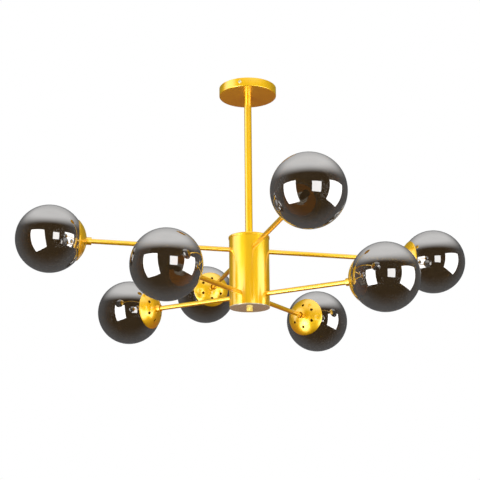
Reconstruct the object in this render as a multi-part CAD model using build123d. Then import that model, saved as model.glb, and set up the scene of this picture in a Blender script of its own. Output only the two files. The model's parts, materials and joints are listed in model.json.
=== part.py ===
from build123d import *
import math
import os

# Multi-arm chandelier: canopy, stem and hub, with eight globe lamps on straight arms in two rings of four.
# Millimetres. The origin is the centre of the ceiling plane, +Z is up, and the lamp hangs below it.

# Gaps between pieces
thread_gap = 0.05       # round a male thread in its female thread
slip_gap = 0.15         # round a piece that is pushed into place by hand
seat_gap = 0.05         # at a seat against a curved wall
run_gap = 0.3           # between pieces that move past each other

# Canopy and ceiling bracket
canopy_diameter = 125.5
canopy_height = 19.5
canopy_wall = 1.2
canopy_edge_radius = 1.5
bracket_width = 22.0
bracket_thickness = 1.5
bracket_angle = 60.0
bracket_tab_height = 13.0
bracket_tab_gap = 1.0
fixing_spacing = 80.0
fixing_hole_diameter = 5.0
cable_hole_diameter = 14.0
side_screw_diameter = 4.0
side_screw_length = 10.0
side_screw_head_diameter = 7.0
side_screw_head_height = 2.4
side_screw_drop = 9.5
terminal_length = 20.0
terminal_width = 14.0
terminal_height = 9.0
terminal_offset = 13.0
terminal_well_diameter = 3.6
terminal_well_depth = 2.0
terminal_ways = 3

# Stem and centre pipe
stem_diameter = 16.0
stem_wall = 1.0
stem_length = 322.5
pipe_diameter = 10.0
pipe_bore = 7.5
pipe_overrun = 1.0
pipe_nut_flats = 14.0
pipe_nut_height = 4.5
pipe_washer_diameter = 22.0
pipe_washer_thickness = 1.5
pipe_window_width = 5.0
pipe_window_height = 12.0

# Hub
hub_diameter = 85.5
hub_height = 155.5
hub_wall = 1.5
lid_plate = 1.5
lid_skirt_height = 5.0
lid_skirt_wall = 1.1
lid_edge_radius = 1.4
lid_boss_height = 4.0
cover_plate = 2.0
cover_edge_radius = 0.8
cover_spigot_height = 4.0
cover_spigot_wall = 1.5
finial_height = 7.5
finial_neck_diameter = 12.6
finial_end_diameter = 14.4
finial_edge_radius = 0.8
finial_thread_depth = 5.5
finial_flutes = 24
finial_flute_radius = 0.5
junction_diameter = 40.0
junction_height = 18.0

# Arms
lamps_per_ring = 4
upper_ring_inset = 30.5
ring_spacing = 98.5
upper_reach = 422.0
lower_reach = 311.5
arm_diameter = 10.0
arm_wall = 1.0
collar_diameter = 16.0
collar_length = 10.0
nipple_bore = 5.5
nipple_grip = 12.0
nipple_overrun = 1.5
arm_nut_flats = 13.0
arm_nut_height = 4.0
cable_diameter = 4.0
lead_drop_radius = 16.0
lead_bend_radius = 14.0
supply_bend_radius = 5.5
supply_headroom = 1.3

# Glass globe, cup and cushion ring
globe_diameter = 140.0
globe_wall = 2.5
neck_wall = 2.5
neck_depth = 8.3
neck_lip_radius = 1.0
neck_gap = 0.4
cup_rim_bore = 82.0
cup_rim_gap = 0.45
cup_crown_gap = 4.5
cup_wall = 1.0
vent_count = 6
vent_diameter = 6.0
vent_circle = 50.0
screw_ring_diameter = 61.0
screw_ring_wall = 2.0
screw_ring_overrun = 0.5
screw_plate_thickness = 1.2
gasket_bore = 62.8
gasket_diameter = 72.0

# Lampholder and two-pin capsule lamp
holder_diameter = 22.0
holder_length = 22.0
holder_boss_diameter = 15.0
holder_boss_length = 6.0
holder_grip = 8.0
holder_floor_gap = 1.0
pin_spacing = 9.0
pin_width = 2.6
pin_thickness = 0.8
pin_length = 14.5
pin_gap = 0.4
bulb_length = 32.0
bulb_diameter = 14.0
bulb_foot_diameter = 11.6
bulb_foot_length = 8.0

# Radii worked out from the sizes above
canopy_inner = canopy_diameter / 2 - canopy_wall
hub_inner = hub_diameter / 2 - hub_wall
pipe_radius = pipe_diameter / 2
pipe_hole = pipe_radius + slip_gap
arm_bore = arm_diameter / 2 - arm_wall
nipple_radius = arm_bore - thread_gap
nipple_hole = nipple_radius + slip_gap
arm_nut_corner = arm_nut_flats / math.sqrt(3)
globe_radius = globe_diameter / 2
screw_ring_radius = screw_ring_diameter / 2
neck_bore = screw_ring_radius + neck_gap
cable_radius = cable_diameter / 2

# Heights worked out from the sizes above
canopy_floor_z = canopy_wall - canopy_height
hub_top_z = -canopy_height - stem_length
hub_bottom_z = hub_top_z - hub_height
lid_under_z = hub_top_z - lid_plate
shell_bottom_z = hub_bottom_z + cover_plate
upper_ring_z = hub_top_z - upper_ring_inset
lower_ring_z = upper_ring_z - ring_spacing
junction_z = (upper_ring_z + lower_ring_z) / 2
pipe_top_z = canopy_floor_z + pipe_washer_thickness + pipe_nut_height + pipe_overrun
pipe_bottom_z = hub_bottom_z - finial_thread_depth + run_gap

# Places in a lamp head are given as the distance from the globe's centre back towards the hub.
cup_apex = globe_radius + cup_crown_gap
cup_rim = math.sqrt((globe_radius + cup_rim_gap) ** 2 - (cup_rim_bore / 2) ** 2)
cup_depth = cup_apex - cup_rim
cup_sphere = ((cup_rim_bore / 2) ** 2 + cup_depth ** 2) / (2 * cup_depth)
cup_centre = cup_apex - cup_sphere
neck_mouth = math.sqrt(globe_radius ** 2 - neck_bore ** 2)
neck_end = neck_mouth - neck_depth


def cup_inside(radius):
    return cup_centre + math.sqrt(cup_sphere ** 2 - radius ** 2)


def cup_outside(radius):
    return cup_centre + math.sqrt((cup_sphere + cup_wall) ** 2 - radius ** 2)


arm_end = cup_outside(nipple_hole) + seat_gap
collar_end = cup_outside(arm_diameter / 2 + thread_gap) + seat_gap
cup_nut_face = cup_inside(arm_nut_corner) - seat_gap
holder_back = cup_nut_face - arm_nut_height - seat_gap
holder_front = holder_back - holder_boss_length - holder_length
nipple_end = holder_back - holder_grip
lead_end = nipple_end - holder_floor_gap
bulb_back = holder_front - run_gap
hub_nut_face = math.sqrt(hub_inner ** 2 - arm_nut_corner ** 2) - seat_gap


# Rods, tubes and balls

def rod_x(radius, start, end):
    return Pos((start + end) / 2, 0, 0) * Rot(0, 90, 0) * Cylinder(radius, abs(end - start))


def tube_x(inner, outer, start, end):
    return rod_x(outer, start, end) - rod_x(inner, start, end)


def rod_z(radius, start, end):
    return Pos(0, 0, (start + end) / 2) * Cylinder(radius, abs(end - start))


def tube_z(inner, outer, start, end):
    return rod_z(outer, start, end) - rod_z(inner, start, end)


def ball(radius, back):
    return Pos(-back, 0, 0) * Rot(0, 90, 0) * Sphere(radius)


def turned_z(points, radii):
    outline = FilletPolyline(*points, radius=radii, close=True)
    return revolve(Plane.XZ * make_face(outline), Axis.Z)


def hex_nut(flats, bore, height):
    body = extrude(RegularPolygon(flats / 2, 6, major_radius=False), height)
    return body - rod_z(bore, 0, height)


def swept_cable(points, radius):
    route = FilletPolyline(*points, radius=radius)
    section = Plane(origin=route @ 0, z_dir=route % 0) * Circle(cable_radius)
    return sweep(section, path=route)


# Canopy and ceiling bracket, both drawn with the bracket along X and turned to bracket_angle

bracket_turn = Rot(0, 0, bracket_angle)
bracket_reach = math.sqrt((canopy_inner - bracket_tab_gap) ** 2 - (bracket_width / 2) ** 2)
side_screw_z = -side_screw_drop


def canopy():
    outer = canopy_diameter / 2
    rim = [(0, -canopy_height), (outer, -canopy_height), (outer, 0), (canopy_inner, 0),
           (canopy_inner, canopy_floor_z), (0, canopy_floor_z)]
    inner_edge = max(canopy_edge_radius - canopy_wall, seat_gap)
    cup = turned_z(rim, [0, canopy_edge_radius, 0, 0, inner_edge, 0])
    cup -= rod_z(pipe_hole, -canopy_height, canopy_floor_z)
    screw_hole = rod_x(side_screw_diameter / 2 + slip_gap, -outer, outer)
    return bracket_turn * (cup - Pos(0, 0, side_screw_z) * screw_hole)


def ceiling_bracket():
    strip = Pos(0, 0, -bracket_thickness / 2) * Box(2 * bracket_reach, bracket_width, bracket_thickness)
    for side in (-1, 1):
        tab_x = side * (bracket_reach - bracket_thickness / 2)
        strip += Pos(tab_x, 0, -bracket_tab_height / 2) * Box(bracket_thickness, bracket_width, bracket_tab_height)
        fixing_x = side * fixing_spacing / 2
        strip -= Pos(fixing_x, 0, 0) * rod_z(fixing_hole_diameter / 2, -bracket_thickness, 0)
    strip -= rod_z(cable_hole_diameter / 2, -bracket_thickness, 0)
    strip -= Pos(0, 0, side_screw_z) * rod_x(side_screw_diameter / 2, -bracket_reach, bracket_reach)
    return bracket_turn * strip


def side_screw():
    under_head = canopy_diameter / 2
    shank = rod_x(side_screw_diameter / 2 - thread_gap, under_head - side_screw_length, under_head)
    head = rod_x(side_screw_head_diameter / 2, under_head, under_head + side_screw_head_height)
    head = fillet(head.edges().group_by(Axis.X)[-1], side_screw_head_height / 3)
    slot = Pos(under_head + side_screw_head_height, 0, 0) * Box(
        side_screw_head_height, side_screw_head_diameter, side_screw_head_height / 3)
    return Pos(0, 0, side_screw_z) * (shank + head - slot)


def canopy_screws():
    return [Rot(0, 0, bracket_angle + turn) * side_screw() for turn in (0, 180)]


def terminal_block():
    middle_x = terminal_offset + terminal_length / 2
    under_z = -bracket_thickness - terminal_height
    block = Pos(middle_x, 0, under_z + terminal_height / 2) * Box(terminal_length, terminal_width, terminal_height)
    pitch = terminal_width / terminal_ways
    for way in range(terminal_ways):
        across = (way - (terminal_ways - 1) / 2) * pitch
        well = rod_z(terminal_well_diameter / 2, under_z, under_z + terminal_well_depth)
        block -= Pos(middle_x, across, 0) * well
    return bracket_turn * block


# Stem and centre pipe

def stem_tube():
    return tube_z(stem_diameter / 2 - stem_wall, stem_diameter / 2, hub_top_z, -canopy_height)


def centre_pipe():
    pipe = tube_z(pipe_bore / 2, pipe_radius, pipe_bottom_z, pipe_top_z)
    window = Pos(pipe_radius / 2, 0, junction_z) * Box(pipe_radius, pipe_window_width, pipe_window_height)
    return pipe - window


def pipe_nuts():
    nut = hex_nut(pipe_nut_flats, pipe_radius + thread_gap, pipe_nut_height)
    upper_z = canopy_floor_z + pipe_washer_thickness
    lower_z = lid_under_z - pipe_washer_thickness - pipe_nut_height
    return [Pos(0, 0, nut_z) * nut for nut_z in (upper_z, lower_z)]


def pipe_washers():
    washer = tube_z(pipe_hole, pipe_washer_diameter / 2, 0, pipe_washer_thickness)
    lower_z = lid_under_z - pipe_washer_thickness
    return [Pos(0, 0, washer_z) * washer for washer_z in (canopy_floor_z, lower_z)]


# Hub

def hub_lid():
    skirt_inner = hub_diameter / 2 + slip_gap
    skirt_outer = skirt_inner + lid_skirt_wall
    skirt_z = hub_top_z - lid_skirt_height
    boss_radius = stem_diameter / 2 - stem_wall - slip_gap
    boss_z = hub_top_z + lid_boss_height
    outline = [(pipe_hole, lid_under_z), (skirt_inner, lid_under_z), (skirt_inner, skirt_z), (skirt_outer, skirt_z),
               (skirt_outer, hub_top_z), (boss_radius, hub_top_z), (boss_radius, boss_z), (pipe_hole, boss_z)]
    return turned_z(outline, [0, 0, 0, 0, lid_edge_radius, 0, 0, 0])


def hub_shell():
    shell = tube_z(hub_inner, hub_diameter / 2, shell_bottom_z, lid_under_z)
    for place in lamp_places:
        shell -= place.at * rod_x(nipple_hole, 0, hub_diameter)
    return shell


def bottom_cover():
    spigot_outer = hub_inner - run_gap
    spigot_inner = spigot_outer - cover_spigot_wall
    spigot_z = shell_bottom_z + cover_spigot_height
    hole = pipe_radius + run_gap
    outer = hub_diameter / 2
    outline = [(hole, hub_bottom_z), (outer, hub_bottom_z), (outer, shell_bottom_z), (spigot_outer, shell_bottom_z),
               (spigot_outer, spigot_z), (spigot_inner, spigot_z), (spigot_inner, shell_bottom_z),
               (hole, shell_bottom_z)]
    return turned_z(outline, [0, cover_edge_radius, 0, 0, 0, 0, 0, 0])


def finial_knob():
    neck = finial_neck_diameter / 2
    end = finial_end_diameter / 2
    end_z = hub_bottom_z - finial_height
    knob = turned_z([(0, hub_bottom_z), (neck, hub_bottom_z), (end, end_z), (0, end_z)], [0, 0, finial_edge_radius, 0])
    flute = rod_z(finial_flute_radius, hub_bottom_z, end_z)
    for turn in range(finial_flutes):
        knob -= Rot(0, 0, turn * 360 / finial_flutes) * (Pos(end, 0, 0) * flute)
    return knob - rod_z(pipe_radius + thread_gap, hub_bottom_z - finial_thread_depth, hub_bottom_z)


def junction_block():
    half = junction_height / 2
    return tube_z(pipe_hole, junction_diameter / 2, junction_z - half, junction_z + half)


# Pieces of one lamp. Those on the arm are drawn along X from the hub's axis, and those of the head are drawn
# round the globe's centre, with +X pointing away from the hub.

def arm_tube(reach):
    tube = tube_x(arm_bore, arm_diameter / 2, hub_inner, reach - arm_end)
    return tube - rod_z(hub_diameter / 2 + seat_gap, -arm_diameter, arm_diameter)


def collar():
    return tube_x(arm_diameter / 2 + thread_gap, collar_diameter / 2, -collar_end - collar_length, -collar_end)


def hub_nipple():
    start = hub_nut_face - arm_nut_height - nipple_overrun
    return tube_x(nipple_bore / 2, nipple_radius, start, hub_diameter / 2 + nipple_grip)


def cup_nipple():
    return tube_x(nipple_bore / 2, nipple_radius, -arm_end - nipple_grip, -nipple_end)


def arm_nut(outer_face):
    nut = hex_nut(arm_nut_flats, nipple_radius + thread_gap, arm_nut_height)
    return Pos(outer_face - arm_nut_height, 0, 0) * (Rot(0, 90, 0) * nut)


def cup():
    dome = ball(cup_sphere + cup_wall, cup_centre) - ball(cup_sphere, cup_centre)
    dome &= rod_x(globe_radius, -2 * globe_radius, -cup_rim)
    dome -= rod_x(nipple_hole, -2 * globe_radius, 0)
    for turn in range(vent_count):
        vent = Pos(0, 0, vent_circle / 2) * rod_x(vent_diameter / 2, -2 * globe_radius, 0)
        dome -= Rot(turn * 360 / vent_count, 0, 0) * vent
    return dome


def screw_ring():
    ring_end = neck_end - screw_ring_overrun
    plate_back = ring_end + screw_plate_thickness
    ring = tube_x(screw_ring_radius - screw_ring_wall, screw_ring_radius, -2 * globe_radius, -ring_end)
    ring += tube_x(holder_diameter / 2 + slip_gap, screw_ring_radius, -plate_back, -ring_end)
    return ring & ball(cup_sphere - seat_gap, cup_centre)


def gasket():
    ring = tube_x(gasket_bore / 2, gasket_diameter / 2, -2 * globe_radius, -cup_rim)
    return (ring & ball(cup_sphere - run_gap, cup_centre)) - ball(globe_radius + run_gap, 0)


def globe():
    glass = ball(globe_radius, 0) - ball(globe_radius - globe_wall, 0)
    glass += tube_x(neck_bore, neck_bore + neck_wall, -globe_radius, -neck_end) & ball(globe_radius, 0)
    glass -= rod_x(neck_bore, -2 * globe_radius, -neck_end)
    rims = glass.edges().filter_by(lambda edge: edge.is_closed and edge.length > 2 * neck_bore)
    return fillet(rims.sort_by(Axis.X)[0], neck_lip_radius)


def lampholder():
    boss_front = holder_back - holder_boss_length
    body = rod_x(holder_boss_diameter / 2, -holder_back, -boss_front)
    body += rod_x(holder_diameter / 2, -boss_front, -holder_front)
    body -= rod_x(nipple_radius + thread_gap, -holder_back, -lead_end)
    slot_depth = pin_length + pin_gap
    slot = Box(slot_depth, pin_width + 2 * pin_gap, pin_thickness + 2 * pin_gap)
    for side in (-1, 1):
        body -= Pos(-holder_front - slot_depth / 2, side * pin_spacing / 2, 0) * slot
    return body


def bulb():
    radius = bulb_diameter / 2
    foot_front = bulb_back - bulb_foot_length
    dome_centre = bulb_back - bulb_length + radius
    lamp = rod_x(bulb_foot_diameter / 2, -bulb_back, -foot_front)
    lamp += rod_x(radius, -foot_front, -dome_centre)
    lamp += ball(radius, dome_centre)
    for side in (-1, 1):
        lamp += Pos(-bulb_back - pin_length / 2, side * pin_spacing / 2, 0) * Box(pin_length, pin_width, pin_thickness)
    return lamp


def lamp_lead(reach, ring_z):
    side = 1 if ring_z > junction_z else -1
    drop = junction_z + side * junction_height / 2 - ring_z
    points = [(reach - lead_end, 0, 0), (lead_drop_radius, 0, 0), (lead_drop_radius, 0, drop)]
    return swept_cable(points, lead_bend_radius)


def supply_cable():
    run_z = -bracket_thickness - supply_headroom - cable_radius
    points = [(terminal_offset, 0, run_z), (0, 0, run_z), (0, 0, junction_z - pipe_window_height / 2)]
    return bracket_turn * swept_cable(points, supply_bend_radius)


# Places of the eight lamps: numbers 1 to 4 in the upper ring and 5 to 8 half a step round in the lower ring

class LampPlace:
    def __init__(self, number, angle, ring_z, reach):
        self.number = number
        self.ring_z = ring_z
        self.reach = reach
        self.at = Pos(0, 0, ring_z) * Rot(0, 0, angle)
        self.head = self.at * Pos(reach, 0, 0)


ring_step = 360 / lamps_per_ring
lamp_places = []
for index in range(lamps_per_ring):
    lamp_places.append(LampPlace(index + 1, index * ring_step, upper_ring_z, upper_reach))
for index in range(lamps_per_ring):
    number = lamps_per_ring + index + 1
    lamp_places.append(LampPlace(number, (index + 0.5) * ring_step, lower_ring_z, lower_reach))


# Nodes by name, each a list of its separate solids

nodes = {
    "ceiling_bracket": [ceiling_bracket()],
    "canopy": [canopy()],
    "canopy_screws": canopy_screws(),
    "terminal_block": [terminal_block()],
    "stem_tube": [stem_tube()],
    "centre_pipe": [centre_pipe()],
    "pipe_nuts": pipe_nuts(),
    "pipe_washers": pipe_washers(),
    "hub_lid": [hub_lid()],
    "hub_shell": [hub_shell()],
    "bottom_cover": [bottom_cover()],
    "finial_knob": [finial_knob()],
    "junction_block": [junction_block()],
    "supply_cable": [supply_cable()],
    "lamp_leads": [place.at * lamp_lead(place.reach, place.ring_z) for place in lamp_places],
    "arm_collars": [place.head * collar() for place in lamp_places],
    "arm_nipples": [],
    "arm_nuts": [],
    "screw_rings": [place.head * screw_ring() for place in lamp_places],
    "lampholders": [place.head * lampholder() for place in lamp_places],
}
for place in lamp_places:
    nodes["arm_nipples"] += [place.at * hub_nipple(), place.head * cup_nipple()]
    nodes["arm_nuts"] += [place.at * arm_nut(hub_nut_face), place.head * arm_nut(arm_nut_height - cup_nut_face)]
    nodes[f"arm_{place.number}"] = [place.at * arm_tube(place.reach)]
    nodes[f"cup_{place.number}"] = [place.head * cup()]
    nodes[f"gasket_{place.number}"] = [place.head * gasket()]
    nodes[f"globe_{place.number}"] = [place.head * globe()]
    nodes[f"bulb_{place.number}"] = [place.head * bulb()]

os.makedirs("parts", exist_ok=True)
for name, pieces in nodes.items():
    solids = [solid for piece in pieces for solid in piece.solids()]
    export_step(Compound(children=solids), f"parts/{name}.step")
print(len(nodes), "nodes written")
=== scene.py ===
import json
import math
import bmesh
import bpy
import numpy as np
from mathutils import Matrix


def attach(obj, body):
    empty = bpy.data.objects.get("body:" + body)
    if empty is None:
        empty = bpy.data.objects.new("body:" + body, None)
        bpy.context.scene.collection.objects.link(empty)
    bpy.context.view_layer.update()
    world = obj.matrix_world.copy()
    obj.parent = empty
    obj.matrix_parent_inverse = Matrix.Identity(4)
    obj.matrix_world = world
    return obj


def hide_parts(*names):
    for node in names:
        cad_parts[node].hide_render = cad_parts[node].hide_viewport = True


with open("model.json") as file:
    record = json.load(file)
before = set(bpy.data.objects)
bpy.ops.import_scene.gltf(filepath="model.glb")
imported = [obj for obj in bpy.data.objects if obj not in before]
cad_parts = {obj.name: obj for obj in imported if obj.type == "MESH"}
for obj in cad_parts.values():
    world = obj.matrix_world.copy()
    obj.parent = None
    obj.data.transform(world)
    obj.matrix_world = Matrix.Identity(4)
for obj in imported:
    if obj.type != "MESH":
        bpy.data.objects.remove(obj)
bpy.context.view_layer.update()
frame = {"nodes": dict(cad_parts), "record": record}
mm = 0.001
xAxis = np.array([1.0, 0.0, 0.0])
yAxis = np.array([0.0, 1.0, 0.0])
upAxis = np.array([0.0, 0.0, 1.0])


# lamps: 1 to 4 in the upper ring, 5 to 8 half a step round in the lower ring
layout = {
    "upperReach": 422 * mm,     # hub axis to globe centre
    "lowerReach": 311.5 * mm,
    "upperZ": -372.5 * mm,
    "lowerZ": -471 * mm,
    "perRing": 4,
}


def lampPlaces():
    # lamp i of a ring stands at i steps of a full turn over the lamps in the ring
    places = []
    step = math.tau / layout["perRing"]
    rings = ((layout["upperReach"], layout["upperZ"]), (layout["lowerReach"], layout["lowerZ"]))
    for ring, (reach, z) in enumerate(rings):
        for i in range(layout["perRing"]):
            angle = (i + ring / 2) * step
            out = np.array([math.cos(angle), math.sin(angle), 0.0])
            side = np.array([-math.sin(angle), math.cos(angle), 0.0])
            hubPoint = np.array([0.0, 0.0, z])
            places.append({"number": len(places) + 1, "out": out, "side": side, "hub": hubPoint,
                           "centre": reach * out + hubPoint})
    return places


lamps = lampPlaces()


# mesh helpers
meshCare = {
    "weld": 2e-6,           # points closer than this become one
    "sliver": 1e-7,         # edges shorter than this go
    "sharp": 35,            # degrees between faces from which an edge stays sharp
    "cornerSteps": 6,       # steps in the arc of a rounded corner
}


def roundOf(radius, angle):
    # points (r cos a, r sin a)
    return np.stack([radius * np.cos(angle), radius * np.sin(angle)], -1)


def softCorners(corners, radii):
    # each corner of a closed outline becomes an arc: tangent points at r / tan(half angle), centre on the
    # bisector; the last corner's next one is the first
    corners = np.asarray(corners, float)
    t = np.linspace(0, 1, meshCare["cornerSteps"] + 1)[:, None]
    outline = []
    for i, (corner, radius) in enumerate(zip(corners, radii)):
        if radius <= 0:
            outline.append(corner[None])
            continue
        before = corners[i - 1] - corner
        after = corners[(i + 1) % len(corners)] - corner
        before = before / np.linalg.norm(before)
        after = after / np.linalg.norm(after)
        half = math.acos(np.clip(before @ after, -1, 1)) / 2
        bisector = (before + after) / np.linalg.norm(before + after)
        centre = corner + bisector * radius / math.sin(half)
        start = corner + before * radius / math.tan(half) - centre
        end = corner + after * radius / math.tan(half) - centre
        turn = math.pi - 2 * half
        arc = np.sin((1 - t) * turn) * start + np.sin(t * turn) * end
        outline.append(centre + arc / math.sin(turn))
    return np.concatenate(outline)


def densify(outline, longest):
    # each side of a closed outline is split into equal steps no longer than the given length
    sides = np.roll(outline, -1, axis=0) - outline
    counts = np.maximum(1, np.ceil(np.linalg.norm(sides, axis=1) / longest).astype(int))
    which = np.repeat(np.arange(len(outline)), counts)
    step = np.arange(len(which)) - np.repeat(np.cumsum(counts) - counts, counts)
    return outline[which] + sides[which] * (step / counts[which])[:, None]


def gridFaces(rows, cols, wrapRows, wrapCols):
    # cell (i, j) is the quad (i, j), (i, j+1), (i+1, j+1), (i+1, j); a wrapped side runs on to its start
    i = np.arange(rows if wrapRows else rows - 1)[:, None]
    j = np.arange(cols if wrapCols else cols - 1)[None, :]
    i2 = (i + 1) % rows
    j2 = (j + 1) % cols
    quads = np.stack([i * cols + j, i * cols + j2, i2 * cols + j2, i2 * cols + j], axis=-1)
    return quads.reshape(-1, 4)


def turned(outline, steps, along, across, up, start):
    # a closed outline of (distance, radius) goes round the axis:
    # start + d along + r (cos a across + sin a up)
    angle = np.arange(steps) * math.tau / steps
    d = np.repeat(outline[:, 0], steps)[:, None]
    r = np.repeat(outline[:, 1], steps)[:, None]
    a = np.tile(angle, len(outline))[:, None]
    points = start + d * along + r * (np.cos(a) * across + np.sin(a) * up)
    return points, gridFaces(len(outline), steps, True, True)


def joined(parts):
    # several (points, faces) sets as one, each set's faces counted on from the last
    offset = 0
    allPoints, allFaces = [], []
    for points, faces in parts:
        allPoints.append(points)
        allFaces.append(faces + offset)
        offset += len(points)
    return np.concatenate(allPoints), np.concatenate(allFaces)


def makePiece(name, points, faces, body, slot, nodes, materials, sharp=meshCare["sharp"], faceMaterial=None):
    mesh = bpy.data.meshes.new(name)
    mesh.from_pydata(points, [], faces.tolist())
    if faceMaterial is not None:
        mesh.polygons.foreach_set("material_index", np.asarray(faceMaterial, np.int32))
    work = bmesh.new()
    work.from_mesh(mesh)
    bmesh.ops.remove_doubles(work, verts=work.verts, dist=meshCare["weld"])
    bmesh.ops.dissolve_degenerate(work, edges=work.edges, dist=meshCare["sliver"])
    bmesh.ops.recalc_face_normals(work, faces=work.faces)
    work.to_mesh(mesh)
    work.free()
    mesh.shade_smooth()
    mesh.set_sharp_from_angle(angle=math.radians(sharp))
    piece = bpy.data.objects.new(name, mesh)
    bpy.context.scene.collection.objects.link(piece)
    for material in materials:
        mesh.materials.append(material)
    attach(piece, body)
    if nodes:
        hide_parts(*nodes)
    return piece


# materials
texture = {
    "detail": 3.0,
    "roughness": 0.55,
    "range": (0.3, 0.7),        # the part of the noise that is spread over a finish
    "reliefDepth": 0.0002,
}
metalTexture = {
    "drift": 9.0,               # scale of the broad drift in the colour
    "driftRange": (0.3, 0.72),
    "detail": 4.0,              # of the fine grain
    "roughness": 0.6,
}
plainTexture = {"driftShare": 12}       # the drift is this many times broader than the grain


def newMaterial(name):
    material = bpy.data.materials.new(name)
    material.use_nodes = True
    nodes = material.node_tree.nodes
    nodes.clear()
    output = nodes.new("ShaderNodeOutputMaterial")
    shader = nodes.new("ShaderNodeBsdfPrincipled")
    material.node_tree.links.new(shader.outputs["BSDF"], output.inputs["Surface"])
    return material, shader


def noise(material, scale, detail=texture["detail"], roughness=texture["roughness"]):
    tree = material.node_tree
    place = tree.nodes.new("ShaderNodeTexCoord")
    grain = tree.nodes.new("ShaderNodeTexNoise")
    grain.inputs["Scale"].default_value = scale
    grain.inputs["Detail"].default_value = detail
    grain.inputs["Roughness"].default_value = roughness
    tree.links.new(place.outputs["Object"], grain.inputs["Vector"])
    return grain.outputs["Fac"]


def ramp(material, source, dark, light, ends=texture["range"]):
    tree = material.node_tree
    node = tree.nodes.new("ShaderNodeValToRGB")
    for element, position, colour in zip(node.color_ramp.elements, ends, (dark, light)):
        element.position = position
        element.color = (*colour, 1)
    tree.links.new(source, node.inputs["Fac"])
    return node.outputs["Color"]


def spread(material, source, ends):
    tree = material.node_tree
    node = tree.nodes.new("ShaderNodeMapRange")
    node.inputs["From Min"].default_value, node.inputs["From Max"].default_value = texture["range"]
    node.inputs["To Min"].default_value, node.inputs["To Max"].default_value = ends
    tree.links.new(source, node.inputs["Value"])
    return node.outputs["Result"]


def relief(material, shader, source, strength, depth=texture["reliefDepth"]):
    tree = material.node_tree
    node = tree.nodes.new("ShaderNodeBump")
    node.inputs["Strength"].default_value = strength
    node.inputs["Distance"].default_value = depth
    tree.links.new(source, node.inputs["Height"])
    tree.links.new(node.outputs["Normal"], shader.inputs["Normal"])


def metalFinish(name, look):
    # broad drift in the colour, fine grain in the gloss and the surface
    material, shader = newMaterial(name)
    link = material.node_tree.links.new
    broad = noise(material, metalTexture["drift"])
    fine = noise(material, look["grain"], metalTexture["detail"], metalTexture["roughness"])
    link(ramp(material, broad, look["dark"], look["light"], metalTexture["driftRange"]),
         shader.inputs["Base Color"])
    link(spread(material, fine, look["rough"]), shader.inputs["Roughness"])
    shader.inputs["Metallic"].default_value = look["metallic"]
    relief(material, shader, fine, look["relief"])
    if "lacquer" in look:
        shader.inputs["Coat Weight"].default_value = look["lacquer"]
        shader.inputs["Coat Roughness"].default_value = look["lacquerRough"]
        shader.inputs["Coat IOR"].default_value = look["lacquerIndex"]
    return material


def plainFinish(name, look):
    # the same for plastic, rubber and ceramic
    material, shader = newMaterial(name)
    link = material.node_tree.links.new
    broad = noise(material, look["grain"] / plainTexture["driftShare"])
    fine = noise(material, look["grain"])
    link(ramp(material, broad, look["dark"], look["light"]), shader.inputs["Base Color"])
    link(spread(material, fine, look["rough"]), shader.inputs["Roughness"])
    relief(material, shader, fine, look["relief"])
    return material


goldLook = {
    "dark": (0.86, 0.475, 0.003),
    "light": (0.91, 0.53, 0.006),
    "metallic": 0.8,
    "rough": (0.28, 0.35),
    "grain": 1800.0,
    "relief": 0.015,
    "lacquer": 1.0,
    "lacquerRough": 0.11,
    "lacquerIndex": 1.75,
}
coverLook = {"dark": (0.58, 0.55, 0.42), "light": (0.64, 0.60, 0.46), "metallic": 0.6, "rough": (0.10, 0.16),
             "grain": 300.0, "relief": 0.01}
copperLook = {"dark": (0.50, 0.16, 0.012), "light": (0.60, 0.21, 0.02), "metallic": 0.9,
              "rough": (0.28, 0.38), "grain": 1500.0, "relief": 0.06}
knobLook = {"dark": (0.97, 0.72, 0.20), "light": (0.99, 0.78, 0.25), "metallic": 0.7, "rough": (0.22, 0.30),
            "grain": 1200.0, "relief": 0.06}
zincLook = {"dark": (0.56, 0.56, 0.57), "light": (0.68, 0.68, 0.68), "metallic": 1.0, "rough": (0.26, 0.40),
            "grain": 700.0, "relief": 0.06}
ceramicLook = {"dark": (0.74, 0.68, 0.58), "light": (0.80, 0.76, 0.68), "rough": (0.45, 0.6),
               "grain": 800.0, "relief": 0.1}
plasticLook = {"dark": (0.76, 0.76, 0.74), "light": (0.82, 0.82, 0.80), "rough": (0.35, 0.5),
               "grain": 900.0, "relief": 0.1}
cableLook = {"dark": (0.62, 0.60, 0.55), "light": (0.70, 0.67, 0.62), "rough": (0.4, 0.55),
             "grain": 700.0, "relief": 0.1}
siliconeLook = {"dark": (0.60, 0.60, 0.58), "light": (0.68, 0.68, 0.66), "rough": (0.5, 0.65),
                "grain": 600.0, "relief": 0.1}
smokedLook = {
    "mirror": (0.548, 0.541, 0.535),
    "alpha": 0.83,
    "drift": 14.0,              # scale of the unevenness in the tint
    "mirrorDrift": 0.04,        # how far the tint goes up and down
    "ripple": 9.0,              # scale, strength and depth of the waves that blown glass has
    "rippleDetail": 1.0,
    "rippleStrength": 0.02,
    "rippleDepth": 0.002,
    "inner": (0.10, 0.075, 0.055),
    "innerAlpha": 0.22,
    "innerDrift": 0.1,
    "innerRough": (0.02, 0.03),
    "innerGrain": 60.0,
}
clearLook = {"dark": (0.92, 0.92, 0.91), "light": (0.97, 0.97, 0.96), "drift": 40.0, "rough": (0.01, 0.04),
             "grain": 120.0, "index": 1.45}


def smokedTint(material, shader, colour, drift):
    tint = np.array(colour)
    source = noise(material, smokedLook["drift"])
    material.node_tree.links.new(ramp(material, source, tint * (1 - drift), tint * (1 + drift)),
                                 shader.inputs["Base Color"])


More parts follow.
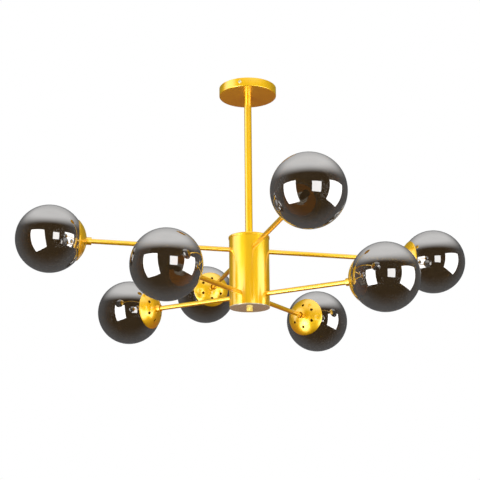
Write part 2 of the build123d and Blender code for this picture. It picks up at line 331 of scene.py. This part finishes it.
def smokedMirror():
    # half-mirror coating on the outside of the glass, a little uneven, as blown glass is
    material, shader = newMaterial("smokedMirror")
    smokedTint(material, shader, smokedLook["mirror"], smokedLook["mirrorDrift"])
    waves = noise(material, smokedLook["ripple"], smokedLook["rippleDetail"])
    relief(material, shader, waves, smokedLook["rippleStrength"], smokedLook["rippleDepth"])
    shader.inputs["Roughness"].default_value = 0.0
    shader.inputs["Metallic"].default_value = 1.0
    shader.inputs["Alpha"].default_value = smokedLook["alpha"]
    return material


def smokedInside():
    # bare smoked glass on the inside
    material, shader = newMaterial("smokedInside")
    smokedTint(material, shader, smokedLook["inner"], smokedLook["innerDrift"])
    fine = noise(material, smokedLook["innerGrain"])
    material.node_tree.links.new(spread(material, fine, smokedLook["innerRough"]), shader.inputs["Roughness"])
    shader.inputs["Alpha"].default_value = smokedLook["innerAlpha"]
    return material


def clearGlass():
    material, shader = newMaterial("clearGlass")
    link = material.node_tree.links.new
    broad = noise(material, clearLook["drift"])
    fine = noise(material, clearLook["grain"])
    link(ramp(material, broad, clearLook["dark"], clearLook["light"]), shader.inputs["Base Color"])
    link(spread(material, fine, clearLook["rough"]), shader.inputs["Roughness"])
    shader.inputs["Transmission Weight"].default_value = 1.0
    shader.inputs["IOR"].default_value = clearLook["index"]
    return material


satinGold = metalFinish("satinGold", goldLook)
polishedGold = metalFinish("polishedGold", coverLook)
copperGold = metalFinish("copperGold", copperLook)
turnedBrass = metalFinish("turnedBrass", knobLook)
zincSteel = metalFinish("zincSteel", zincLook)
globeOutside = smokedMirror()
globeInside = smokedInside()
capsuleGlass = clearGlass()
slotFinish = {
    "gold": satinGold,
    "cover_plate": polishedGold,
    "knob": turnedBrass,
    "zinc_steel": zincSteel,
    "smoked_glass": globeOutside,
    "lamp_glass": capsuleGlass,
    "ceramic": plainFinish("ceramicBody", ceramicLook),
    "white_plastic": plainFinish("whitePlastic", plasticLook),
    "cable_sheath": plainFinish("cableSheath", cableLook),
    "silicone": plainFinish("silicone", siliconeLook),
}
for part in frame["record"]["subparts"]:
    solid = frame["nodes"][part["node"]]
    solid.data.materials.clear()
    solid.data.materials.append(slotFinish[part["material_slot"]])
frame["nodes"]["screw_rings"].data.materials[0] = copperGold     # seen only through the smoked glass
print("materials:", len(bpy.data.materials))


# canopy, stem and hub, turned about the vertical axis; lengths in mm
longestSide = 20.0


def turnedUpright(name, corners, radii, steps, slot, material, body="fixture"):
    # a closed outline of (height, radius) with rounded corners goes round the vertical axis
    outline = softCorners(np.asarray(corners, float) * mm, [r * mm for r in radii])
    outline = densify(outline, longestSide * mm)
    points, faces = turned(outline, steps, upAxis, xAxis, yAxis, np.zeros(3))
    return makePiece(name, points, faces, body, slot, [name], [material])


canopyCup = {"radius": 62.75, "height": 19.5, "wall": 1.2, "edge": 1.6, "lip": 0.35, "insideEdge": 0.4,
             "hole": 5.15, "steps": 160}
under = -canopyCup["height"]
inside = under + canopyCup["wall"]
wallIn = canopyCup["radius"] - canopyCup["wall"]
turnedUpright("canopy",
              [(under, canopyCup["hole"]), (under, canopyCup["radius"]), (0, canopyCup["radius"]),
               (0, wallIn), (inside, wallIn), (inside, canopyCup["hole"])],
              [0, canopyCup["edge"], canopyCup["lip"], canopyCup["lip"], canopyCup["insideEdge"], 0],
              canopyCup["steps"], "gold", satinGold)

stem = {"radius": 8.0, "wall": 1.0, "top": -19.5, "bottom": -342.0, "edge": 0.3, "steps": 64}
stemIn = stem["radius"] - stem["wall"]
turnedUpright("stem_tube",
              [(stem["bottom"], stem["radius"]), (stem["top"], stem["radius"]), (stem["top"], stemIn),
               (stem["bottom"], stemIn)],
              [stem["edge"], stem["edge"], 0, 0], stem["steps"], "gold", satinGold)

hub = {"radius": 42.75, "wall": 1.5, "top": -342.0, "bottom": -497.5, "edge": 0.25, "steps": 160,
       "lidPlate": 1.5, "lidSkirt": 5.0, "lidWall": 1.1, "lidGap": 0.15, "lidEdge": 1.4, "skirtIn": 0.2,
       "skirtOut": 0.35, "bossRadius": 6.85, "bossHeight": 4.0, "bossEdge": 0.3, "hole": 5.15}
skirtIn = hub["radius"] + hub["lidGap"]
skirtOut = skirtIn + hub["lidWall"]
skirtEnd = hub["top"] - hub["lidSkirt"]
lidUnder = hub["top"] - hub["lidPlate"]
bossTop = hub["top"] + hub["bossHeight"]
turnedUpright("hub_lid",
              [(lidUnder, hub["hole"]), (lidUnder, skirtIn), (skirtEnd, skirtIn), (skirtEnd, skirtOut),
               (hub["top"], skirtOut), (hub["top"], hub["bossRadius"]), (bossTop, hub["bossRadius"]),
               (bossTop, hub["hole"])],
              [0, 0, hub["skirtIn"], hub["skirtOut"], hub["lidEdge"], hub["bossEdge"], hub["bossEdge"], 0],
              hub["steps"], "gold", satinGold)

cover = {"plate": 2.0, "edge": 0.8, "seatEdge": 0.2, "spigot": 4.0, "spigotWall": 1.5, "spigotEdge": 0.3,
         "gap": 0.3, "hole": 5.3}
shellBottom = hub["bottom"] + cover["plate"]
shellIn = hub["radius"] - hub["wall"]
turnedUpright("hub_shell",
              [(shellBottom, hub["radius"]), (lidUnder, hub["radius"]), (lidUnder, shellIn),
               (shellBottom, shellIn)],
              [hub["edge"], 0, 0, hub["edge"]], hub["steps"], "gold", satinGold)
spigotOut = shellIn - cover["gap"]
spigotIn = spigotOut - cover["spigotWall"]
spigotTop = shellBottom + cover["spigot"]
turnedUpright("bottom_cover",
              [(hub["bottom"], cover["hole"]), (hub["bottom"], hub["radius"]), (shellBottom, hub["radius"]),
               (shellBottom, spigotOut), (spigotTop, spigotOut), (spigotTop, spigotIn),
               (shellBottom, spigotIn), (shellBottom, cover["hole"])],
              [0, cover["edge"], cover["seatEdge"], 0, cover["spigotEdge"], cover["spigotEdge"], 0, 0],
              hub["steps"], "cover_plate", polishedGold, "cover")
print("canopy, stem and hub turned")


finial = {"neck": 6.3, "end": 7.2, "height": 7.5, "bore": 5.05, "boreDepth": 5.5, "neckEdge": 0.35,
          "edge": 0.8, "flutes": 24, "perFlute": 8, "fluteDepth": 0.4, "fadeEnd": 1.2, "fadeTop": 1.0,
          "clearOfBore": 1.1,       # flutes stay outside this many bore radii
          "longest": 0.5, "sharp": 40}


def finialKnob():
    # radius = r - depth * fade * cos(a flutes / 2) squared, where fade falls to nothing at both ends
    top = hub["bottom"]
    end = top - finial["height"]
    boreEnd = top - finial["boreDepth"]
    outline = softCorners([(top, finial["bore"]), (top, finial["neck"]), (end, finial["end"]), (end, 0.0),
                           (boreEnd, 0.0), (boreEnd, finial["bore"])],
                          [0, finial["neckEdge"], finial["edge"], 0, 0, 0])
    outline = densify(outline * mm, finial["longest"] * mm)
    height, r = outline[:, :1], outline[:, 1:]
    steps = finial["flutes"] * finial["perFlute"]
    angle = np.arange(steps) * math.tau / steps
    fade = np.clip((height - end * mm) / (finial["fadeEnd"] * mm), 0, 1)
    fade = fade * np.clip((top * mm - height) / (finial["fadeTop"] * mm), 0, 1)
    fade = fade * (r > finial["bore"] * finial["clearOfBore"] * mm)
    radius = r - finial["fluteDepth"] * mm * fade * np.cos(finial["flutes"] / 2 * angle) ** 2
    heights = np.broadcast_to(height, radius.shape)
    points = np.stack([radius * np.cos(angle), radius * np.sin(angle), heights], axis=-1)
    return points.reshape(-1, 3), gridFaces(len(outline), steps, True, True)


makePiece("finial_knob", *finialKnob(), "finial", "knob", ["finial_knob"], [turnedBrass], finial["sharp"])
print("finial knob fluted")


# arms, collars, cups, globes and capsule lamps; lengths in mm, distances from the globe's centre
arm = {"radius": 5.0, "bore": 4.0, "steps": 48, "hubGap": 0.05, "rows": 5}
collar = {"radius": 8.0, "bore": 5.05, "length": 10.0, "edge": 0.5, "mouth": 7.0, "mouthDepth": 3.0,
          "mouthEdge": 0.2, "seatEdge": 0.15, "boreEdge": 0.1, "steps": 64}
cup = {"sphere": 57.44, "centre": 17.06, "wall": 1.0, "rim": 57.289, "bore": 4.1, "seat": 0.05,
       "vents": 6, "ventRadius": 3.0, "ventCircle": 25.0, "perVent": 16,
       "ventSteps": (0.0, 0.06, 0.16, 0.35, 0.65, 1.0),     # from the vent's edge to the border of its sixth
       "ringIn": 11.0, "ringOut": 37.0, "innerRings": 4, "outerRings": 5,
       "edge": 0.22, "edgeSteps": 2, "edgeAngle": 50}
cupOuter = cup["sphere"] + cup["wall"]


def fromPoint(lamp, start, local):
    # lamp frame: x away from the hub, y sideways, z up
    return start + local[:, :1] * lamp["out"] + local[:, 1:2] * lamp["side"] + local[:, 2:] * upAxis


def cupBack(radius):
    # distance of the cup's outside from the globe's centre, at this radius from the arm's axis
    return cup["centre"] + math.sqrt(cupOuter ** 2 - radius ** 2)


def armTube(lamp):
    # a tube whose hub end follows the hub's wall: it starts at sqrt(R^2 - (r cos a)^2) from the hub's axis
    end = np.linalg.norm(lamp["centre"] - lamp["hub"]) - (cupBack(cup["bore"]) + cup["seat"]) * mm
    a = np.arange(arm["steps"]) * math.tau / arm["steps"]
    t = np.linspace(0, 1, arm["rows"])
    rows = []
    for r, along in ((arm["radius"] * mm, t), (arm["bore"] * mm, t[::-1])):
        start = np.sqrt(((hub["radius"] + arm["hubGap"]) * mm) ** 2 - (r * np.cos(a)) ** 2)
        d = start[None] + (end - start)[None] * along[:, None]
        sideways = np.broadcast_to(r * np.cos(a), d.shape)
        upward = np.broadcast_to(r * np.sin(a), d.shape)
        rows.append(np.stack([d, sideways, upward], -1))
    local = np.concatenate(rows).reshape(-1, 3)
    return fromPoint(lamp, lamp["hub"], local), gridFaces(2 * arm["rows"], arm["steps"], True, True)


def collarRing(lamp):
    # a ring outline with a sloping mouth round the arm, turned about the arm's axis
    front = -(cupBack(collar["bore"]) + cup["seat"])
    back = front - collar["length"]
    outline = softCorners([(back + collar["mouthDepth"], collar["bore"]), (back, collar["mouth"]),
                           (back, collar["radius"]), (front, collar["radius"]), (front, collar["bore"])],
                          [0, collar["mouthEdge"], collar["edge"], collar["seatEdge"], collar["boreEdge"]])
    return turned(outline * mm, collar["steps"], lamp["out"], lamp["side"], upAxis, lamp["centre"])


def cupPlan():
    # flat plan of the cup: round each vent, straight rays run from its edge to the border of its sixth
    # of the ring, and plain rings fill in to the hole in the middle and out to the rim
    sixth = math.tau / cup["vents"]
    n = cup["perVent"]
    edgeAngle = np.linspace(-sixth / 2, sixth / 2, n + 1)
    sideSteps = np.linspace(cup["ringOut"], cup["ringIn"], n + 1)[:, None]
    sideRay = np.array([math.cos(sixth / 2), math.sin(sixth / 2)])
    border = np.concatenate([roundOf(cup["ringOut"], edgeAngle[:-1]), sideSteps[:-1] * sideRay,
                             roundOf(cup["ringIn"], edgeAngle[:0:-1]), sideSteps[:0:-1] * sideRay * (1, -1)])
    vent = np.array([cup["ventCircle"], 0.0])
    rays = border - vent
    edge = vent + cup["ventRadius"] * rays / np.linalg.norm(rays, axis=1)[:, None]
    t = np.array(cup["ventSteps"])[:, None, None]
    patch = (edge[None] + (border - edge)[None] * t).reshape(-1, 2)
    patchFaces = gridFaces(len(t), len(border), False, True)
    parts = []
    for k in range(cup["vents"]):
        c, s = math.cos(k * sixth), math.sin(k * sixth)
        parts.append((patch @ np.array([[c, s], [-s, c]]), patchFaces))
    rim = math.sqrt(cupOuter ** 2 - (cup["rim"] - cup["centre"]) ** 2)
    around = np.arange(cup["vents"] * n) * sixth / n - sixth / 2
    for first, last, count in ((cup["bore"], cup["ringIn"], cup["innerRings"]),
                               (cup["ringOut"], rim, cup["outerRings"])):
        rings = roundOf(np.linspace(first, last, count)[:, None], around).reshape(-1, 2)
        parts.append((rings, gridFaces(count, len(around), False, True)))
    return joined(parts)


def cupDome(lamp, plan):
    # the plan is raised onto a sphere, x = -(centre + sqrt(R^2 - y^2 - z^2)), with vent 1 at the top
    points, faces = plan
    back = -(cup["centre"] + np.sqrt(cupOuter ** 2 - (points ** 2).sum(1)))
    local = np.stack([back, points[:, 1], points[:, 0]], -1) * mm
    return fromPoint(lamp, lamp["centre"], local), faces


def finishCup(piece, lamp):
    # faces turn away from the globe, then the wall goes inwards
    mesh = piece.data
    first = mesh.polygons[0]
    outward = np.array(first.center) - lamp["centre"] + lamp["out"] * cup["centre"] * mm
    if np.dot(np.array(first.normal), outward) < 0:
        mesh.flip_normals()
    wall = piece.modifiers.new("wall", "SOLIDIFY")
    wall.thickness = cup["wall"] * mm
    wall.offset = -1
    edge = piece.modifiers.new("edge", "BEVEL")
    edge.width = cup["edge"] * mm
    edge.segments = cup["edgeSteps"]
    edge.limit_method = "ANGLE"
    edge.angle_limit = math.radians(cup["edgeAngle"])


globe = {"radius": 70.0, "wall": 2.5, "neckBore": 30.9, "neckWall": 2.5, "neckDepth": 8.3, "lip": 1.0,
         "lipSteps": 6, "rows": 72, "steps": 144, "sharp": 50}


def globeOutline():
    # outer arc (-r cos a, r sin a) from the mouth round to the far pole, inner arc back, then the neck
    # that is turned into the globe; the mouth's lip is a quadratic curve between neck and arc
    r, ri, n = globe["radius"], globe["radius"] - globe["wall"], globe["neckBore"]
    backward = np.array([-1.0, 1.0])
    mouth = math.asin(n / r)
    arcStart = mouth + globe["lip"] / r
    neckOut = n + globe["neckWall"]
    root = math.asin(neckOut / ri)
    end = math.sqrt(r * r - n * n) - globe["neckDepth"]
    t = np.linspace(0, 1, globe["lipSteps"])[1:-1, None]
    corner = roundOf(r, mouth) * backward
    lipStart = roundOf(r, arcStart) * backward
    lipEnd = np.array([-r * math.cos(mouth) + globe["lip"], n])
    lip = (1 - t) ** 2 * lipEnd + 2 * t * (1 - t) * corner + t ** 2 * lipStart
    outside = roundOf(r, np.linspace(arcStart, math.pi, globe["rows"])) * backward
    inside = roundOf(ri, np.linspace(math.pi, root, globe["rows"])) * backward
    neck = np.array([(-end, neckOut), (-end, n)])
    outline = np.concatenate([lipEnd[None], lip, outside, inside, neck])
    outline[:, 1] = np.maximum(outline[:, 1], 0)
    isInside = np.arange(len(outline)) >= len(lip) + globe["rows"]
    return outline * mm, isInside


globeProfile, globeSide = globeOutline()


def globeGlass(lamp):
    # the outline turned about the arm's axis, with the side of the glass that each face is on
    points, faces = turned(globeProfile, globe["steps"], lamp["out"], lamp["side"], upAxis, lamp["centre"])
    return points, faces, np.repeat(globeSide, globe["steps"])


capsule = {"back": 41.6, "length": 32.0, "radius": 7.0, "foot": 5.8, "footLength": 8.0, "shoulder": 1.5,
           "edge": 0.8, "tipSteps": 17, "steps": 48}
pin = {"gap": 4.5, "length": 14.5, "width": 2.6, "wire": 0.4, "bendSteps": 9, "steps": 8}


def capsuleOutline():
    # meant as a flat foot, swelling to the body, then a quarter circle to the tip
    # known fault: softCorners closes this open outline, so the arc at its last corner lies 40 mm away,
    # behind the foot and across the axis, and the body comes out as a cone
    back, r, foot, edge = capsule["back"], capsule["radius"], capsule["foot"], capsule["edge"]
    front = back - capsule["footLength"]
    tip = back - capsule["length"] + r
    dome = roundOf(r, np.linspace(math.pi / 2, 0, capsule["tipSteps"])) - (tip, 0)
    body = softCorners([(-back, 0), (-back, foot), (-front, foot), (-front + capsule["shoulder"], r)],
                       [0, edge, edge, edge])[:-1]
    return np.concatenate([body, dome]) * mm


def pinLoop(lamp, side):
    # a bent wire: a round section carried down one leg, round half a circle and up the other leg
    half = pin["width"] / 2 - pin["wire"]
    leg = pin["length"] - half
    turn = np.linspace(0, math.pi, pin["bendSteps"])
    bend = np.stack([leg + half * np.sin(turn), half * np.cos(turn)], -1)
    path = np.concatenate([[[0, half]], bend, [[0, -half]]])
    tangent = np.gradient(path, axis=0)
    tangent /= np.linalg.norm(tangent, axis=1)[:, None]
    a = np.arange(pin["steps"]) * math.tau / pin["steps"]
    w = pin["wire"]
    x = path[:, :1] - tangent[:, 1:] * w * np.cos(a)
    y = path[:, 1:] + tangent[:, :1] * w * np.cos(a) + side * pin["gap"]
    z = np.broadcast_to(w * np.sin(a), x.shape)
    local = np.stack([-capsule["back"] - x, y, z], -1).reshape(-1, 3) * mm
    return fromPoint(lamp, lamp["centre"], local), gridFaces(len(path), pin["steps"], False, True)


plan = cupPlan()
bulbOutline = capsuleOutline()
collarParts = []
for lamp in lamps:
    number = lamp["number"]
    makePiece(f"arm_{number}", *armTube(lamp), "fixture", "gold", [f"arm_{number}"], [satinGold])
    dome = makePiece(f"cup_{number}", *cupDome(lamp, plan), "fixture", "gold", [f"cup_{number}"], [satinGold])
    finishCup(dome, lamp)
    collarParts.append(collarRing(lamp))
    points, faces, sides = globeGlass(lamp)
    glass = makePiece(f"globe_{number}", points, faces, f"glass_{number}", "smoked_glass",
                      [f"globe_{number}"], [globeOutside, globeInside], globe["sharp"], sides)
    glass.visible_shadow = False        # the studio light reaches the lamp inside
    points, faces = turned(bulbOutline, capsule["steps"], lamp["out"], lamp["side"], upAxis, lamp["centre"])
    makePiece(f"bulb_{number}", points, faces, f"lamp_{number}", "lamp_glass", [f"bulb_{number}"],
              [capsuleGlass])
    pins = joined([pinLoop(lamp, -1), pinLoop(lamp, 1)])
    makePiece(f"bulb_pins_{number}", *pins, f"lamp_{number}", "zinc_steel", [], [zincSteel])
makePiece("arm_collars", *joined(collarParts), "fixture", "gold", ["arm_collars"], [satinGold])
print("lamps:", len(lamps))


# camera, floor and light
cameraView = {
    "place": (-0.6166, -2.3273, -1.0288),
    "yaw": 14.38,
    "pitch": 15.78,
    "roll": -0.41,
    "focal": 1170.26,       # in pixels of the 480-pixel frame
    "frame": 480,
    "sensor": 36.0,
    "clip": (0.05, 60),
}


def placed(right, above, back, place):
    # an object's matrix from its three axes and its place
    matrix = np.eye(4)
    matrix[:3, 0], matrix[:3, 1], matrix[:3, 2], matrix[:3, 3] = right, above, back, place
    return Matrix(matrix.tolist())


def cameraAxes():
    yaw, pitch, roll = (math.radians(cameraView[k]) for k in ("yaw", "pitch", "roll"))
    ahead = np.array([math.sin(yaw) * math.cos(pitch), math.cos(yaw) * math.cos(pitch), math.sin(pitch)])
    level = np.array([math.cos(yaw), -math.sin(yaw), 0.0])
    above = np.cross(level, ahead)
    return (math.cos(roll) * level + math.sin(roll) * above,
            math.cos(roll) * above - math.sin(roll) * level, ahead)


def addCamera():
    right, above, ahead = cameraAxes()
    data = bpy.data.cameras.new("camera")
    data.sensor_width = cameraView["sensor"]
    data.lens = cameraView["sensor"] * cameraView["focal"] / cameraView["frame"]
    data.clip_start, data.clip_end = cameraView["clip"]
    camera = bpy.data.objects.new("camera", data)
    camera.matrix_world = placed(right, above, -ahead, cameraView["place"])
    bpy.context.scene.collection.objects.link(camera)
    bpy.context.scene.camera = camera


# node helpers for the floor, the sky and the overhead light

def mathOf(tree, operation, first, second):
    # the second value is a plain number or another node's output
    node = tree.nodes.new("ShaderNodeMath")
    node.operation = operation
    tree.links.new(first, node.inputs[0])
    if isinstance(second, float):
        node.inputs[1].default_value = second
    else:
        tree.links.new(second, node.inputs[1])
    return node


def vectorOf(tree, operation, source, other=(0, 0, 0)):
    node = tree.nodes.new("ShaderNodeVectorMath")
    node.operation = operation
    node.inputs[1].default_value = other
    tree.links.new(source, node.inputs[0])
    return node


def smoothShare(tree, source, edge, ends=(0.0, 1.0)):
    # a smooth step from the first end to the second, between the two edges
    node = tree.nodes.new("ShaderNodeMapRange")
    node.interpolation_type = "SMOOTHSTEP"
    node.inputs["From Min"].default_value, node.inputs["From Max"].default_value = edge
    node.inputs["To Min"].default_value, node.inputs["To Max"].default_value = ends
    tree.links.new(source, node.inputs["Value"])
    return node.outputs["Result"]


def blendOf(tree, factor, first, second):
    node = tree.nodes.new("ShaderNodeMixShader")
    tree.links.new(factor, node.inputs["Fac"])
    tree.links.new(first.outputs[0], node.inputs[1])
    tree.links.new(second.outputs[0], node.inputs[2])
    return node


room = {
    "floorZ": -2.4,
    "floorRadius": 5.0,
    "floorSteps": 96,
    "fade": (2.0, 4.8),         # the floor gives way to the backdrop between these distances
    "pale": (0.86, 0.86, 0.85),
    "lift": 0.42,               # added where the camera sees the floor, so that it stays pale
}


def addFloor():
    # a flat disc
    steps = room["floorSteps"]
    ring = roundOf(room["floorRadius"], np.linspace(0, math.tau, steps, endpoint=False))
    points = np.column_stack([ring, np.full(steps, room["floorZ"])])
    mesh = bpy.data.meshes.new("floor")
    mesh.from_pydata(points, [], [list(range(steps))])
    floor = bpy.data.objects.new("floor", mesh)
    bpy.context.scene.collection.objects.link(floor)
    material = bpy.data.materials.new("paleFloor")
    material.use_nodes = True
    tree = material.node_tree
    tree.nodes.clear()
    new, link = tree.nodes.new, tree.links.new
    path = new("ShaderNodeLightPath")
    geometry = new("ShaderNodeNewGeometry")
    flat = vectorOf(tree, "MULTIPLY", geometry.outputs["Position"], (1, 1, 0))
    distance = vectorOf(tree, "LENGTH", flat.outputs["Vector"])
    behindGlass = new("ShaderNodeClamp")        # the studio shows through the globes, not the white floor
    link(path.outputs["Transparent Depth"], behindGlass.inputs["Value"])
    hidden = path.outputs["Is Glossy Ray"]
    for cause in (geometry.outputs["Backfacing"], behindGlass.outputs["Result"],
                  smoothShare(tree, distance.outputs["Value"], room["fade"])):
        hidden = mathOf(tree, "MAXIMUM", hidden, cause).outputs["Value"]
    paint = new("ShaderNodeBsdfDiffuse")
    paint.inputs["Color"].default_value = (*room["pale"], 1)
    glow = new("ShaderNodeEmission")
    lift = mathOf(tree, "MULTIPLY", path.outputs["Is Camera Ray"], room["lift"])
    link(lift.outputs["Value"], glow.inputs["Strength"])
    seen = new("ShaderNodeAddShader")
    link(paint.outputs["BSDF"], seen.inputs[0])
    link(glow.outputs["Emission"], seen.inputs[1])
    whole = blendOf(tree, hidden, seen, new("ShaderNodeBsdfTransparent"))
    output = new("ShaderNodeOutputMaterial")
    link(whole.outputs["Shader"], output.inputs["Surface"])
    mesh.materials.append(material)


# each edge is two cosines from a direction, or two heights: the light starts at the first and is full at
# the second
sky = {
    "around": (0.116, 0.116, 0.118),    # what a clear mirror shows of the studio
    "front": (0.045, 0.026, 0.010),     # and on the camera's side
    "frontEdge": (-0.70, 0.55),
    "ceiling": 1.15,                    # the pale ceiling that a clear mirror shows
    "ceilingBehind": 0.80,              # its far side, as the camera stands
    "ceilingBehindEdge": (-0.95, -0.35),
    "ceilingLean": 0.14,                # it starts lower on the far side
    "ceilingEdge": (0.47, 0.89),
    "satinBehind": (0.26, 0.23, 0.05),  # what satin metal shows of the far side
    "satinBelow": (0.27, 0.10, 0.055),  # and low on that side
    "satinBelowEdge": (-0.30, 0.25),    # height where this gives way to the one above
    "satinFront": (0.74, 0.70, 0.12),   # and on the camera's side
    "satinToward": (-0.25, -0.94, 0.22),
    "satinEdge": (-0.70, 0.85),
    "side": (1.9, 1.9, 2.1),            # a pale wall on the left
    "sideToward": (-0.95, 0.05, 0.30),
    "sideEdge": (0.83, 0.99),
    "satinCeiling": 1.5,                # a pale ceiling
    "satinCeilingToward": (0.05, -0.36, 0.93),
    "satinCeilingEdge": (0.58, 0.95),
    "satinFloor": (0.10, 0.045, 0.015),     # a dark floor
    "satinFloorEdge": (0.60, 0.97),
    "spots": [                          # bright spots that satin metal catches: glow, direction, edge
        (4.6, (-0.794, -0.299, -0.53), (0.88, 0.985)),
        (2.6, (0.401, -0.836, -0.375), (0.90, 0.99)),
    ],
    "diffuse": 0.42,
    "backdrop": 1.0,
    "throughGlass": (0.050, 0.044, 0.038),  # what shows through both walls of a globe
    "clearEdge": 1.0,                   # the floor's clear edge counts as one wall
}


def addSky():
    world = bpy.data.worlds.new("studio")
    bpy.context.scene.world = world
    world.use_nodes = True
    tree = world.node_tree
    tree.nodes.clear()
    output = tree.nodes.new("ShaderNodeOutputWorld")
    path = tree.nodes.new("ShaderNodeLightPath")
    place = tree.nodes.new("ShaderNodeTexCoord")

    def glowing(light):
        # a number is the strength of white light, three numbers are a colour
        node = tree.nodes.new("ShaderNodeBackground")
        colour = light if isinstance(light, tuple) else (1, 1, 1)
        node.inputs["Color"].default_value = (*colour, 1)
        node.inputs["Strength"].default_value = 1.0 if isinstance(light, tuple) else light
        return node

    def turningTo(first, light, toward, edge):
        # the first light gives way to the second towards a direction
        second = light if isinstance(light, bpy.types.Node) else glowing(light)
        cosine = vectorOf(tree, "DOT_PRODUCT", place.outputs["Generated"], toward)
        return blendOf(tree, smoothShare(tree, cosine.outputs["Value"], edge), first, second)

    towardCamera = -cameraAxes()[2]
    leaning = upAxis - sky["ceilingLean"] * towardCamera
    leaning = leaning / np.linalg.norm(leaning)
    ceiling = turningTo(glowing(sky["ceilingBehind"]), sky["ceiling"], towardCamera, sky["ceilingBehindEdge"])
    mirrored = turningTo(glowing(sky["around"]), sky["front"], towardCamera, sky["frontEdge"])
    mirrored = turningTo(mirrored, ceiling, leaning, sky["ceilingEdge"])
    satin = turningTo(glowing(sky["satinBelow"]), sky["satinBehind"], upAxis, sky["satinBelowEdge"])
    satin = turningTo(satin, sky["satinFront"], sky["satinToward"], sky["satinEdge"])
    satin = turningTo(satin, sky["side"], sky["sideToward"], sky["sideEdge"])
    satin = turningTo(satin, sky["satinCeiling"], sky["satinCeilingToward"], sky["satinCeilingEdge"])
    satin = turningTo(satin, sky["satinFloor"], -upAxis, sky["satinFloorEdge"])
    for glow, toward, edge in sky["spots"]:
        satin = turningTo(satin, glow, toward, edge)
    glossy = blendOf(tree, path.outputs["Is Singular Ray"], satin, mirrored)
    lit = blendOf(tree, path.outputs["Is Diffuse Ray"], glossy, glowing(sky["diffuse"]))
    walls = mathOf(tree, "SUBTRACT", path.outputs["Transparent Depth"], sky["clearEdge"])
    walls.use_clamp = True
    seen = blendOf(tree, walls.outputs["Value"], glowing(sky["backdrop"]), glowing(sky["throughGlass"]))
    clear = mathOf(tree, "MAXIMUM", path.outputs["Is Camera Ray"], path.outputs["Is Transmission Ray"])
    whole = blendOf(tree, clear.outputs["Value"], lit, seen)
    tree.links.new(whole.outputs["Shader"], output.inputs["Surface"])


# softboxes: places in metres, each facing the middle of the hub; glow is the radiance of its cloth
softboxes = [
    {"name": "leftSoftbox", "place": (-0.98, -0.64, -0.65), "size": (0.80, 1.10), "glow": 2.5},
    {"name": "rightSoftbox", "place": (1.24, -0.82, -0.56), "size": (1.25, 1.20), "glow": 2.5},
    {"name": "frontSoftbox", "place": (0.144, -1.95, -0.51), "size": (0.74, 0.82), "glow": 1.9},
]
overhead = {"place": (0.05, -0.42, 0.25), "size": (2.2, 2.2), "glow": 1.25,
            "fade": (0.10, 0.48)}       # its glow goes from full to none, in shares of its width
steepest = 0.99         # a light that points more upright than this takes its sides from the y axis


def addSoftbox(name, place, toward, size, glow):
    # power = radiance * pi * area
    data = bpy.data.lights.new(name, "AREA")
    data.shape = "RECTANGLE"
    data.size, data.size_y = size
    data.energy = glow * math.pi * size[0] * size[1]
    back = np.asarray(place, float) - np.asarray(toward, float)
    back = back / np.linalg.norm(back)
    across = np.cross(upAxis if abs(back[2]) < steepest else yAxis, back)
    across = across / np.linalg.norm(across)
    light = bpy.data.objects.new(name, data)
    light.matrix_world = placed(across, np.cross(back, across), back, place)
    light.visible_camera = False
    bpy.context.scene.collection.objects.link(light)
    return light


def fadeOut(data):
    # the glow falls smoothly with the distance from the middle of the cloth
    data.use_nodes = True
    tree = data.node_tree
    geometry = tree.nodes.new("ShaderNodeNewGeometry")
    distance = vectorOf(tree, "DISTANCE", geometry.outputs["Parametric"], (0.5, 0.5, 0.0))
    share = smoothShare(tree, distance.outputs["Value"], overhead["fade"], (1.0, 0.0))
    tree.links.new(share, tree.nodes["Emission"].inputs["Strength"])


def addSoftboxes():
    middle = (0.0, 0.0, (layout["upperZ"] + layout["lowerZ"]) / 2)
    for box in softboxes:
        addSoftbox(box["name"], box["place"], middle, box["size"], box["glow"])
    below = np.array(overhead["place"]) - upAxis
    cloth = addSoftbox("overheadSoftbox", overhead["place"], below, overhead["size"], overhead["glow"])
    cloth.visible_glossy = False        # metal and glass show the sky's own ceiling instead
    fadeOut(cloth.data)


addCamera()
addFloor()
addSky()
addSoftboxes()
bpy.context.scene.view_settings.view_transform = "Standard"
print("camera, floor and lights set")
